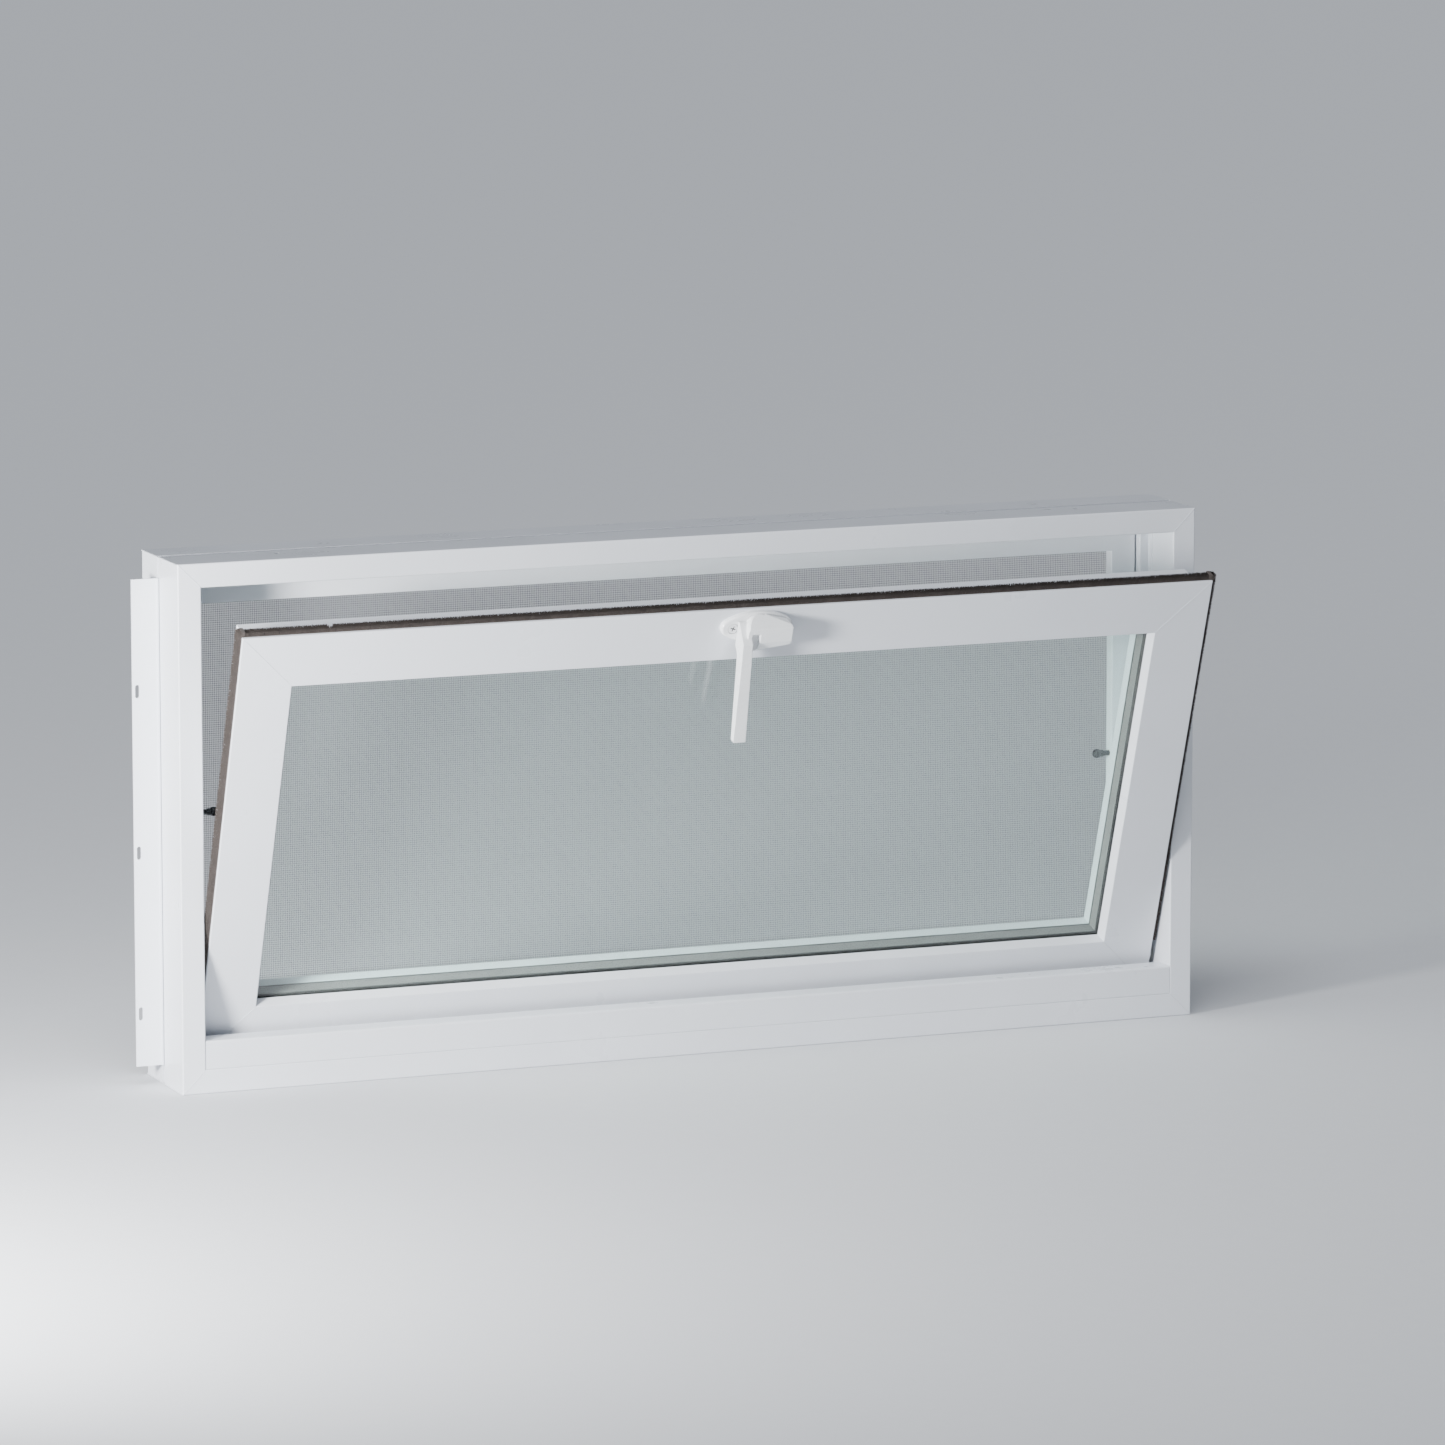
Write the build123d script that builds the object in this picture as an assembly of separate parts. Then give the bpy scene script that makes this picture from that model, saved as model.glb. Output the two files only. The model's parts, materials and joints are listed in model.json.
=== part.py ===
from build123d import *
import os
from math import cos, radians, sin

os.makedirs("parts", exist_ok=True)

# An inward-tilting PVC basement hopper window, in millimetres.
# Row frame: origin at the middle of the sill's underside, +X to the right as seen from
# indoors, -Y indoors, +Z up. Depths are measured outwards from the frame's indoor face.
# Every sash piece is drawn closed and then tilted open about the pivot axis.

# Main frame
WIDTH = 800.0
HEIGHT = 387.0
DEPTH = 82.5
FACE = 17.7  # face width, so the jambs, head and sill are this thick
WALL = 2.0
KERF = (45.7, 47.5)  # groove for the nailing fins, along every outer face
KERF_DEEP = 5.0
RELIEF = (41.7, 0.7)  # shallow step in front of the groove: where it starts, how deep
RIB = (36.5, 38.5)  # low rib on the inner face
RIB_HIGH = 1.0
CHAMBERS = ((2.0, 24.0), (26.0, 43.5), (49.5, 80.5))  # hollow rooms of the bars
LEG = (45.1, 48.1)  # stop leg that the sash closes against
LEG_HIGH = 6.8
LIP = (76.5, 82.5)  # outdoor lip that the screen rests against
LIP_HIGH = 9.3
FIXING_X = 315.0  # installation holes in the head
FIXING_DEPTH = 29.0
FIXING_R = 2.25

# Sill stop and side fins
STOP_DEEP = 20.0
STOP_HIGH = 20.9
STOP_WALL = 1.8
STOP_END_GAP = 0.25
FIN_THICK = 1.6
FIN_REACH = 20.0
FIN_RIB = (1.2, 4.6)  # height and width of the rib that covers the groove
TONGUE_GAP = 0.3  # under the tongue, in the jamb's groove
FIN_Z = (14.0, 371.0)
FIN_SLOT_X = 416.4
FIN_SLOT_Z = 52.8
FIN_SLOT_PITCH = 118.3
FIN_SLOT_WIDE = 3.3
FIN_SLOT_LONG = 9.8

# Sash, closed
SASH_W = 755.6
SASH_Z = (20.4, 365.0)
SASH_FRONT = 26.0  # depth of its indoor face
SASH_THICK = 35.0
FLANGE_THICK = 11.0
BODY_INSET = 7.0
SASH_FACE = 40.7
REVEAL = 3.0  # the glazing leg slopes inwards by this much down to the glass
LEG_BACK = 7.5
REBATE = 29.5  # floor of the glass rebate, from the sash's outer edge
PILE_SLOT = (2.0, 9.0)
PILE_DEEP = 2.2
PILE_PROUD = 4.0
SEAL_SLOT = (13.5, 17.5)
SEAL_DEEP = 1.5
SEAL_PROUD = 3.8
SIDE_PILE_FROM = 58.0
SASH_CHAMBERS = ((2.0, 15.0), (17.0, 33.0))
SASH_CHAMBER_FROM = 9.5
SASH_H = SASH_Z[1] - SASH_Z[0]
SASH_MID = (SASH_Z[0] + SASH_Z[1]) / 2

# Insulated glass unit
TAPE = 0.8
PANE = 3.0
GAP = 12.0
GLASS_EDGE = 32.5  # edge of the unit, from the sash's outer edge
SPACER = (37.5, 44.3)
BEAD_THICK = 8.7
BLOCK_X = 172.0
BLOCK_LONG = 80.0

# Pivots
TILT = 19.3  # degrees open in the modelled pose, where the sash rests on its stop
PIVOT_DEPTH = 36.0
PIVOT_Z = 43.3
PIN_R = 4.0
PIN_INNER_X = 362.8
PIN_OUTER_X = 391.0
BOSS_R = 7.0
BOSS_OUTER_X = 379.8
BUSH_LONG = 10.7
BUSH_BORE_DEEP = 9.2
RUNNING = 0.05  # radial clearance of a pin or shaft in its bore
OVER = 1.0  # how far a cutter runs past the face that it cuts
FIT = 0.1  # clearance round a piece that is let in or snapped in
SNUG = 0.02  # radial clearance of a screw in its hole

# Cam latch, measured from the spindle's axis
HUB_X = 14.5
HUB_Z = 351.4  # with the sash closed
BASE_HALF = 27.7
BASE_HIGH = 12.5
BASE_END_R = 7.0
BASE_THICK = 4.2
HUB_R = 11.5
HANDLE_FROM = 4.5  # stand-off of the handle's underside from the sash
HANDLE_TO = 16.2
NOTCH_DEEP = 4.5
LEVER_CROWN = 19.3  # highest stand-off of the lever beside the hub
LEVER_TO = 24.0  # stand-off of the lever's end
LEVER_LONG = 83.6
NOSE_X = 23.3
SPINDLE_R = 3.5
SPINDLE_END = 4.0
CLIP_R = 6.0
CLIP_THICK = 1.2
CLIP_GAP = 0.5
CLIP_ROOM_R = 6.6
CLIP_ROOM_DEEP = 10.0
SCREW_X = 18.8
SCREW_R = 1.7
SCREW_HEAD_R = 3.9
SCREW_HEAD_DEEP = 2.0
SCREW_HEAD_GAP = 0.25
RECESS = (4.4, 0.9, 1.5)  # length and width of the cross, and its depth
RECESS_TURN = 20
SCREW_LONG = 12.0

# Routed slot in the head for the latch's nose, and its keeper
SLOT_X = (HUB_X - 9.5, HUB_X + 19.5)
SLOT_DEPTHS = (7.8, 23.0)
KEEPER_THICK = 1.0
KEEPER_LEG = 1.5
KEEPER_DEPTHS = (5.3, 25.4)
KEEPER_EAR = 9.0
KEEPER_HOOK = 5.5
KEEPER_SCREW_R = 1.3
KEEPER_SCREW_LONG = 6.0
KEEPER_CONE_R = 2.3

# Insect screen
SCREEN_X = 381.0
SCREEN_Z = (18.0, 367.0)
SCREEN_FRONT = 66.0
SCREEN_THICK = 10.0
SCREEN_BAR = 19.5
SCREEN_WALL = 1.0
SCREEN_ROOM = (1.0, 11.8)
SPLINE_SLOT = (13.0, 16.0)
SPLINE_DEEP = 3.0
SPLINE_R = 1.45
MESH_THICK = 0.4
MESH_INSET = 13.2
KEY_ARM = 26.0
KEY_CLEAR = 0.2

# Plungers of the screen
PLUNGER_Z = 193.5
PLUNGER_DEPTH = 70.6
STEM_R = 2.0
NECK_R = 2.6
NECK_LONG = 5.0
KNOB_R = 3.5
KNOB_X = 351.5
PLUNGER_TIP_X = 387.0
CATCH_GAP = 0.3  # round the stem, in the jamb
COLLAR_X = (377.8, 379.0)
COLLAR_R = 3.2
FERRULE_R = 2.35
SPRING_R = 2.75
SPRING_WIRE_R = 0.25
SPRING_X = (369.7, 377.5)
SPRING_TURNS = 5


def at(depth):
    """Y of a depth from the frame's indoor face."""
    return depth - DEPTH / 2


def outline(*corners):
    """Closed face through corners (x, y), or (x, y, radius) where a corner is rounded."""
    face = make_face(Polyline(*[corner[:2] for corner in corners], close=True))
    for corner in corners:
        if len(corner) == 3:
            nearest = face.vertices().sort_by_distance((corner[0], corner[1], 0))[0]
            face = fillet(nearest, corner[2])
    return face


def room(x_span, y_span):
    """Rectangle between two x values and two y values."""
    wide = x_span[1] - x_span[0]
    high = y_span[1] - y_span[0]
    return Pos(sum(x_span) / 2, sum(y_span) / 2) * Rectangle(wide, high)


def block(x_span, depth_span, z_span):
    """Box between two x values, two depths and two heights."""
    size = [span[1] - span[0] for span in (x_span, depth_span, z_span)]
    middle = Pos(sum(x_span) / 2, at(sum(depth_span) / 2), sum(z_span) / 2)
    return middle * Box(*size)


def rod(radius, x_span, depth, z):
    """Cylinder along X."""
    length = x_span[1] - x_span[0]
    middle = Pos(sum(x_span) / 2, at(depth), z)
    return middle * Rot(0, 90, 0) * Cylinder(radius, length)


def stud(radius, x, depth_span, z):
    """Cylinder along Y."""
    length = depth_span[1] - depth_span[0]
    return Pos(x, at(sum(depth_span) / 2), z) * Rot(90, 0, 0) * Cylinder(radius, length)


def bar(profile, front, length, reach=60.0):
    """Mitred bar along X with its outer edge on z = 0. The profile's x is the depth behind
    front and its y is the distance inwards from the outer edge."""
    placed = Pos(0, at(front), 0) * (Plane.YZ * profile)
    half = length / 2
    corners = [(-half, 0), (half, 0), (half - reach, reach), (reach - half, reach)]
    mitres = Plane.XZ * make_face(Polyline(*corners, close=True))
    return extrude(placed, half, both=True) & extrude(mitres, DEPTH * 2, both=True)


def ring(profile, front, width, height, middle_z):
    """Four mitred bars round a rectangle: bottom, top, left and right."""
    turns = {"bottom": (0, height), "top": (180, height), "left": (90, width), "right": (-90, width)}
    bars = {}
    for side, (angle, across) in turns.items():
        length = width + height - across
        lowered = Pos(0, 0, -across / 2) * bar(profile, front, length)
        bars[side] = Pos(0, 0, middle_z) * Rot(0, angle, 0) * lowered
    return bars


def flat_ring(outer_inset, inner_inset, front, thick):
    """Flat rectangular ring inside the sash, by its insets from the sash's outer edge."""
    depths = (front, front + thick)
    rings = []
    for inset in (outer_inset, inner_inset):
        x_half = SASH_W / 2 - inset
        rings.append(block((-x_half, x_half), depths, (SASH_Z[0] + inset, SASH_Z[1] - inset)))
    return rings[0] - rings[1]


def mirrored(shape):
    """The same piece on the other side, left for right."""
    return mirror(shape, about=Plane.YZ)


def opened(shape):
    """A closed sash piece, tilted open about the pivot axis."""
    to_pivot = Pos(0, at(PIVOT_DEPTH), PIVOT_Z)
    from_pivot = Pos(0, -at(PIVOT_DEPTH), -PIVOT_Z)
    return to_pivot * Rot(TILT, 0, 0) * from_pivot * shape


# Main frame


def frame_profile():
    inner = FACE
    shape = outline(
        (0, 0, 1.0), (RELIEF[0], 0), RELIEF, (KERF[0], RELIEF[1]),
        (KERF[0], KERF_DEEP), (KERF[1], KERF_DEEP), (KERF[1], 0),
        (DEPTH, 0, 0.6), (DEPTH, inner + LIP_HIGH, 0.8), (LIP[0], inner + LIP_HIGH, 0.8), (LIP[0], inner),
        (LEG[1], inner), (LEG[1], inner + LEG_HIGH, 0.8), (LEG[0], inner + LEG_HIGH, 0.8), (LEG[0], inner),
        (RIB[1], inner), (RIB[1] - 0.5, inner + RIB_HIGH), (RIB[0] + 0.5, inner + RIB_HIGH), (RIB[0], inner),
        (0, inner, 1.0),
    )
    for depths in CHAMBERS:
        shape -= room(depths, (WALL, FACE - WALL))
    return shape


def nose_slot():
    """Cutter for the routed slot: it opens the head's underside into its indoor chamber."""
    under = HEIGHT - FACE
    return block(SLOT_X, SLOT_DEPTHS, (under - OVER, under + WALL + OVER))


def keeper_span():
    return (SLOT_X[0] - KEEPER_EAR, SLOT_X[1] + KEEPER_EAR)


def keeper_seat():
    """Cutter for the shallow rebate that lets the keeper's plate in flush."""
    under = HEIGHT - FACE
    grown = [(span[0] - FIT, span[1] + FIT) for span in (keeper_span(), KEEPER_DEPTHS)]
    return block(*grown, (under - OVER, under + KEEPER_THICK))


def make_frame():
    bars = ring(frame_profile(), 0, WIDTH, HEIGHT, HEIGHT / 2)
    head = bars["top"] - nose_slot() - keeper_seat()
    for x in (-FIXING_X, FIXING_X):
        drill = Pos(x, at(FIXING_DEPTH), HEIGHT) * Cylinder(FIXING_R, FACE * 3)
        head -= drill
    for x in keeper_screw_places():
        head -= Pos(x, at(sum(SLOT_DEPTHS) / 2), HEIGHT - FACE) * Cylinder(KEEPER_SCREW_R, 8)
    inner_x = WIDTH / 2 - FACE
    through = (inner_x - OVER - RIB_HIGH, inner_x + WALL + OVER)
    seat = rod(BOSS_R, through, PIVOT_DEPTH, PIVOT_Z)
    catch = rod(STEM_R + CATCH_GAP, through, PLUNGER_DEPTH, PLUNGER_Z)
    right = bars["right"] - seat - catch
    return {
        "frame_head": head,
        "frame_sill": bars["bottom"],
        "frame_jamb_right": right,
        "frame_jamb_left": bars["left"] - mirrored(seat) - mirrored(catch),
    }


def make_sill_stop():
    half = WIDTH / 2 - FACE - STOP_END_GAP
    top = FACE + STOP_HIGH
    shape = outline((0, FACE, 0.5), (STOP_DEEP, FACE), (STOP_DEEP, top, 1.0), (0, top, 1.6))
    shape -= room((STOP_WALL, STOP_DEEP - STOP_WALL), (FACE + STOP_WALL, top - STOP_WALL))
    placed = Pos(0, at(0), 0) * (Plane.YZ * shape)
    return {"sill_stop": extrude(placed, half, both=True)}


def make_fin():
    """Right-hand fin: plate, tongue in the jamb's groove and a small rib over the groove."""
    edge = WIDTH / 2
    middle = sum(KERF) / 2
    plate_depths = (middle - FIN_THICK / 2, middle + FIN_THICK / 2)
    plate = block((edge - KERF_DEEP + TONGUE_GAP, edge + FIN_REACH), plate_depths, FIN_Z)
    rib = block((edge, edge + FIN_RIB[0]), (middle - FIN_RIB[1] / 2, middle + FIN_RIB[1] / 2), FIN_Z)
    fin = plate + rib
    for step in range(3):
        z = FIN_SLOT_Z + step * FIN_SLOT_PITCH
        slot = Plane.XZ * SlotOverall(FIN_SLOT_LONG, FIN_SLOT_WIDE, rotation=90)
        fin -= Pos(FIN_SLOT_X, 0, z) * extrude(slot, DEPTH, both=True)
    return fin


def make_fins():
    fin = make_fin()
    return {"side_fin_right": fin, "side_fin_left": mirrored(fin)}


def make_bushes():
    face_x = WIDTH / 2 - FACE
    body = rod(BOSS_R, (face_x, face_x + BUSH_LONG), PIVOT_DEPTH, PIVOT_Z)
    bore = rod(PIN_R + RUNNING, (face_x - OVER, face_x + BUSH_BORE_DEEP), PIVOT_DEPTH, PIVOT_Z)
    bush = body - bore
    return {"pivot_bush_right": bush, "pivot_bush_left": mirrored(bush)}


# Latch keeper in the head


def keeper_screw_places():
    return (SLOT_X[0] - KEEPER_EAR / 2, SLOT_X[1] + KEEPER_EAR / 2)


def make_keeper():
    """Strike plate let in round the slot, with a hook that the nose closes behind."""
    under = HEIGHT - FACE
    plate_z = (under, under + KEEPER_THICK)
    hook_depths = (SLOT_DEPTHS[0], SLOT_DEPTHS[0] + KEEPER_LEG)
    window_depths = (hook_depths[1], SLOT_DEPTHS[1])
    plate = block(keeper_span(), KEEPER_DEPTHS, plate_z) - block(SLOT_X, window_depths, plate_z)
    keeper = plate + block(SLOT_X, hook_depths, (under, under + KEEPER_HOOK))
    middle = at(sum(SLOT_DEPTHS) / 2)
    base = (Align.CENTER, Align.CENTER, Align.MIN)
    screws = []
    for x in keeper_screw_places():
        place = Pos(x, middle, under)
        keeper -= place * Cone(KEEPER_CONE_R, KEEPER_SCREW_R, KEEPER_THICK, align=base)
        head = Cone(KEEPER_CONE_R - RUNNING, KEEPER_SCREW_R - RUNNING, KEEPER_THICK, align=base)
        shank = Cylinder(KEEPER_SCREW_R - RUNNING, KEEPER_SCREW_LONG, align=base)
        screws.append(place * (head + shank))
    return {"latch_keeper": keeper, "keeper_screws": screws}


# Insect screen


def screen_profile():
    inner = SCREEN_BAR
    back = SCREEN_THICK
    slot_floor = back - SPLINE_DEEP
    shape = outline(
        (0, 0, 0.8), (back, 0, 0.8), (back, SPLINE_SLOT[0]), (slot_floor, SPLINE_SLOT[0]),
        (slot_floor, SPLINE_SLOT[1]), (back, SPLINE_SLOT[1]), (back, inner, 0.8), (0, inner, 0.8),
    )
    return shape - room((SCREEN_WALL, back - SCREEN_WALL), SCREEN_ROOM)


def screen_ring(profile):
    height = SCREEN_Z[1] - SCREEN_Z[0]
    return ring(profile, SCREEN_FRONT, SCREEN_X * 2, height, sum(SCREEN_Z) / 2)


def make_corner_keys():
    """L-shaped keys in the mitred corners, a little smaller than the bars' chamber."""
    near = SCREEN_ROOM[0] + KEY_CLEAR
    far = SCREEN_ROOM[1] - KEY_CLEAR
    depths = (SCREEN_FRONT + SCREEN_WALL + KEY_CLEAR, SCREEN_FRONT + SCREEN_THICK - SCREEN_WALL - KEY_CLEAR)
    keys = []
    for top in (False, True):
        edge = SCREEN_Z[1] if top else SCREEN_Z[0]
        inwards = -1 if top else 1
        level = sorted((edge + inwards * near, edge + inwards * far))
        upright = sorted((edge + inwards * near, edge + inwards * (near + KEY_ARM)))
        flat = block((SCREEN_X - near - KEY_ARM, SCREEN_X - near), depths, level)
        key = flat + block((SCREEN_X - far, SCREEN_X - near), depths, upright)
        keys += [key, mirrored(key)]
    return {"screen_corner_keys": keys}


def make_plunger():
    """Right-hand plunger: pin, spring collar and ball knob."""
    stem = rod(STEM_R, (KNOB_X, PLUNGER_TIP_X), PLUNGER_DEPTH, PLUNGER_Z)
    stem = chamfer(stem.edges().group_by(Axis.X)[-1], 0.7)
    collar = rod(COLLAR_R, COLLAR_X, PLUNGER_DEPTH, PLUNGER_Z)
    knob = Pos(KNOB_X, at(PLUNGER_DEPTH), PLUNGER_Z) * Sphere(KNOB_R)
    neck = rod(NECK_R, (KNOB_X, KNOB_X + NECK_LONG), PLUNGER_DEPTH, PLUNGER_Z)
    return stem + collar + knob + neck


def make_spring():
    length = SPRING_X[1] - SPRING_X[0]
    path = Helix(length / SPRING_TURNS, length, SPRING_R)
    wire = sweep(Plane(path @ 0, z_dir=path % 0) * Circle(SPRING_WIRE_R), path=path)
    return Pos(SPRING_X[0], at(PLUNGER_DEPTH), PLUNGER_Z) * Rot(0, 90, 0) * wire


def make_screen():
    bars = screen_ring(screen_profile())
    inner_x = SCREEN_X - SCREEN_BAR
    room_x = SCREEN_X - SCREEN_ROOM[1]
    sleeve_hole = rod(FERRULE_R, (inner_x - OVER, room_x + OVER), PLUNGER_DEPTH, PLUNGER_Z)
    outer_hole = rod(STEM_R + RUNNING, (SCREEN_X - SCREEN_WALL - OVER, SCREEN_X + OVER), PLUNGER_DEPTH, PLUNGER_Z)
    ferrule = rod(FERRULE_R, (inner_x, room_x), PLUNGER_DEPTH, PLUNGER_Z)
    ferrule -= rod(STEM_R + RUNNING, (inner_x - OVER, room_x + OVER), PLUNGER_DEPTH, PLUNGER_Z)
    mesh_x = SCREEN_X - MESH_INSET
    mesh_depths = (SCREEN_FRONT + SCREEN_THICK, SCREEN_FRONT + SCREEN_THICK + MESH_THICK)
    mesh = block((-mesh_x, mesh_x), mesh_depths, (SCREEN_Z[0] + MESH_INSET, SCREEN_Z[1] - MESH_INSET))
    cord_place = Pos(SCREEN_THICK - SPLINE_DEEP / 2, sum(SPLINE_SLOT) / 2)
    cord = list(screen_ring(cord_place * Circle(SPLINE_R)).values())
    plunger = make_plunger()
    spring = make_spring()
    return {
        "screen_rail_bottom": bars["bottom"],
        "screen_rail_top": bars["top"],
        "screen_stile_right": bars["right"] - sleeve_hole - outer_hole,
        "screen_stile_left": bars["left"] - mirrored(sleeve_hole) - mirrored(outer_hole),
        "screen_mesh": mesh,
        "screen_spline": cord,
        "plunger_ferrule_right": ferrule,
        "plunger_ferrule_left": mirrored(ferrule),
        "screen_plunger_right": plunger,
        "screen_plunger_left": mirrored(plunger),
        "plunger_spring_right": spring,
        "plunger_spring_left": mirrored(spring),
    }


# Sash


def sash_profile():
    leg_tip = SASH_FACE + REVEAL
    shape = outline(
        (0, 0, 0.5), (PILE_SLOT[0], 0), (PILE_SLOT[0], PILE_DEEP), (PILE_SLOT[1], PILE_DEEP),
        (PILE_SLOT[1], 0), (FLANGE_THICK, 0, 0.5), (FLANGE_THICK, BODY_INSET),
        (SEAL_SLOT[0], BODY_INSET), (SEAL_SLOT[0], BODY_INSET + SEAL_DEEP),
        (SEAL_SLOT[1], BODY_INSET + SEAL_DEEP), (SEAL_SLOT[1], BODY_INSET),
        (SASH_THICK, BODY_INSET, 0.6), (SASH_THICK, REBATE, 0.6),
        (LEG_BACK, REBATE), (LEG_BACK, leg_tip, 0.4), (0, SASH_FACE, 0.8),
    )
    for depths in SASH_CHAMBERS:
        shape -= room(depths, (SASH_CHAMBER_FROM, REBATE - WALL))
    return shape - room((WALL, LEG_BACK - WALL), (REBATE, SASH_FACE - WALL))


def bead_profile():
    front = LEG_BACK + TAPE + 2 * PANE + GAP
    back = front + BEAD_THICK
    sight = SASH_FACE + REVEAL
    return outline((front, REBATE), (front, sight + 0.4, 0.5), (back, sight + 0.9, 1.0), (back, REBATE))


def sash_ring(profile):
    return ring(profile, SASH_FRONT, SASH_W, SASH_H, SASH_MID)


def make_pivot_pin():
    """Right-hand pivot pin with its boss, and the seat that it needs in the stile."""
    pin = rod(PIN_R, (PIN_INNER_X, PIN_OUTER_X), PIVOT_DEPTH, PIVOT_Z)
    pin = chamfer(pin.edges().group_by(Axis.X)[-1], 0.6)
    boss_inner = SASH_W / 2 - BODY_INSET
    return pin + rod(BOSS_R, (boss_inner, BOSS_OUTER_X), PIVOT_DEPTH, PIVOT_Z)


def make_sash():
    bars = sash_ring(sash_profile())
    pin = make_pivot_pin()
    top = bars["top"] - stud(CLIP_ROOM_R, HUB_X, (SASH_FRONT - OVER, SASH_FRONT + CLIP_ROOM_DEEP), HUB_Z)
    for x in (HUB_X - SCREW_X, HUB_X + SCREW_X):
        top -= stud(SCREW_R + SNUG, x, (SASH_FRONT - OVER, SASH_FRONT + SCREW_LONG), HUB_Z)
    beads = sash_ring(bead_profile())
    pieces = {
        "sash_rail_top": top,
        "sash_rail_bottom": bars["bottom"],
        "sash_stile_right": bars["right"] - pin,
        "sash_stile_left": bars["left"] - mirrored(pin),
        "pivot_pin_right": pin,
        "pivot_pin_left": mirrored(pin),
    }
    for side, bead in beads.items():
        pieces["glazing_bead_" + side] = bead
    return pieces


def make_glass_unit():
    first = SASH_FRONT + LEG_BACK + TAPE
    second = first + PANE + GAP
    x_half = SASH_W / 2 - GLASS_EDGE
    z_span = (SASH_Z[0] + GLASS_EDGE, SASH_Z[1] - GLASS_EDGE)
    blocks = []
    for x in (-BLOCK_X, BLOCK_X):
        x_span = (x - BLOCK_LONG / 2, x + BLOCK_LONG / 2)
        blocks.append(block(x_span, (first, second + PANE), (SASH_Z[0] + REBATE, SASH_Z[0] + GLASS_EDGE)))
    return {
        "glass_inner": block((-x_half, x_half), (first, first + PANE), z_span),
        "glass_outer": block((-x_half, x_half), (second, second + PANE), z_span),
        "glass_spacer": flat_ring(*SPACER, first + PANE, GAP),
        "glass_edge_seal": flat_ring(GLASS_EDGE, SPACER[0], first + PANE, GAP),
        "glazing_tape": flat_ring(GLASS_EDGE + 0.5, SASH_FACE + 2, first - TAPE, TAPE),
        "setting_blocks": blocks,
    }


def make_weatherstrip():
    """Pile along the top and both sides, and the thinner seal behind it."""
    pieces = {}
    rows = (
        ("sash_pile_", PILE_SLOT, PILE_DEEP, PILE_PROUD, 0.0),
        ("rear_seal_", SEAL_SLOT, SEAL_DEEP, SEAL_PROUD, BODY_INSET),
    )
    for name, slot, sunk, proud, inset in rows:
        depths = (SASH_FRONT + slot[0], SASH_FRONT + slot[1])
        side_x = (SASH_W / 2 - inset - sunk, SASH_W / 2 - inset + proud)
        top_z = (SASH_Z[1] - inset - sunk, SASH_Z[1] - inset + proud)
        side = block(side_x, depths, (SIDE_PILE_FROM, top_z[1]))
        top_half = SASH_W / 2 - inset - sunk
        pieces[name + "top"] = block((-top_half, top_half), depths, top_z)
        pieces[name + "right"] = side
        pieces[name + "left"] = mirrored(side)
    return pieces


# Cam latch, drawn with its spindle on the Y axis: x to the right, z up, and -Y is the
# stand-off from the sash's indoor face


def stood_off(shape):
    """Latch piece, moved onto the top rail of the closed sash."""
    return Pos(HUB_X, at(SASH_FRONT), HUB_Z) * shape


def plate_between(face, low, high):
    """Extrude an x, z outline between two stand-offs."""
    return Pos(0, -low, 0) * extrude(Plane.XZ * face, high - low)


def side_extrusion(face, x_span):
    """Extrude a stand-off, z outline between two x values."""
    placed = Pos(x_span[0], 0, 0) * Rot(0, 0, -90) * (Plane.XZ * face)
    return extrude(placed, x_span[1] - x_span[0], dir=(1, 0, 0))


def make_latch_base():
    """Lens-shaped plate: two long arcs that run tangent into the rounded ends."""
    middle_x = BASE_HALF - BASE_END_R
    long_r = (middle_x**2 + BASE_HIGH**2 - BASE_END_R**2) / (2 * (BASE_HIGH - BASE_END_R))
    share = BASE_END_R / (long_r - BASE_END_R)
    end_x, end_z = middle_x * (1 + share), (long_r - BASE_HIGH) * share
    edges = Curve() + [
        ThreePointArc((-end_x, end_z), (0, BASE_HIGH), (end_x, end_z)),
        ThreePointArc((end_x, end_z), (BASE_HALF, 0), (end_x, -end_z)),
        ThreePointArc((end_x, -end_z), (0, -BASE_HIGH), (-end_x, -end_z)),
        ThreePointArc((-end_x, -end_z), (-BASE_HALF, 0), (-end_x, end_z)),
    ]
    base = plate_between(make_face(edges), 0, BASE_THICK)
    base = fillet(base.faces().sort_by(Axis.Y)[0].edges(), 1.8)
    base -= plate_between(Circle(SPINDLE_R + RUNNING), -OVER, BASE_THICK + OVER)
    for x in (-SCREW_X, SCREW_X):
        base -= plate_between(Pos(x, 0) * Circle(SCREW_R + SNUG), -OVER, BASE_THICK + OVER)
        sunk = BASE_THICK - SCREW_HEAD_DEEP
        base -= plate_between(Pos(x, 0) * Circle(SCREW_HEAD_R + SCREW_HEAD_GAP), sunk, BASE_THICK + OVER)
    return base


def make_latch_screws():
    screws = []
    for x in (-SCREW_X, SCREW_X):
        sunk = BASE_THICK - SCREW_HEAD_DEEP
        head = plate_between(Circle(SCREW_HEAD_R), sunk, BASE_THICK)
        head = fillet(head.edges().group_by(Axis.Y)[0], 0.6)
        shank = plate_between(Circle(SCREW_R), -SCREW_LONG + BASE_THICK, sunk)
        cross = Rectangle(RECESS[0], RECESS[1]) + Rectangle(RECESS[1], RECESS[0])
        recess = plate_between(cross, BASE_THICK - RECESS[2], BASE_THICK)
        screws.append(Pos(x, 0, 0) * (head + shank - Rot(0, RECESS_TURN, 0) * recess))
    return screws


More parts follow.
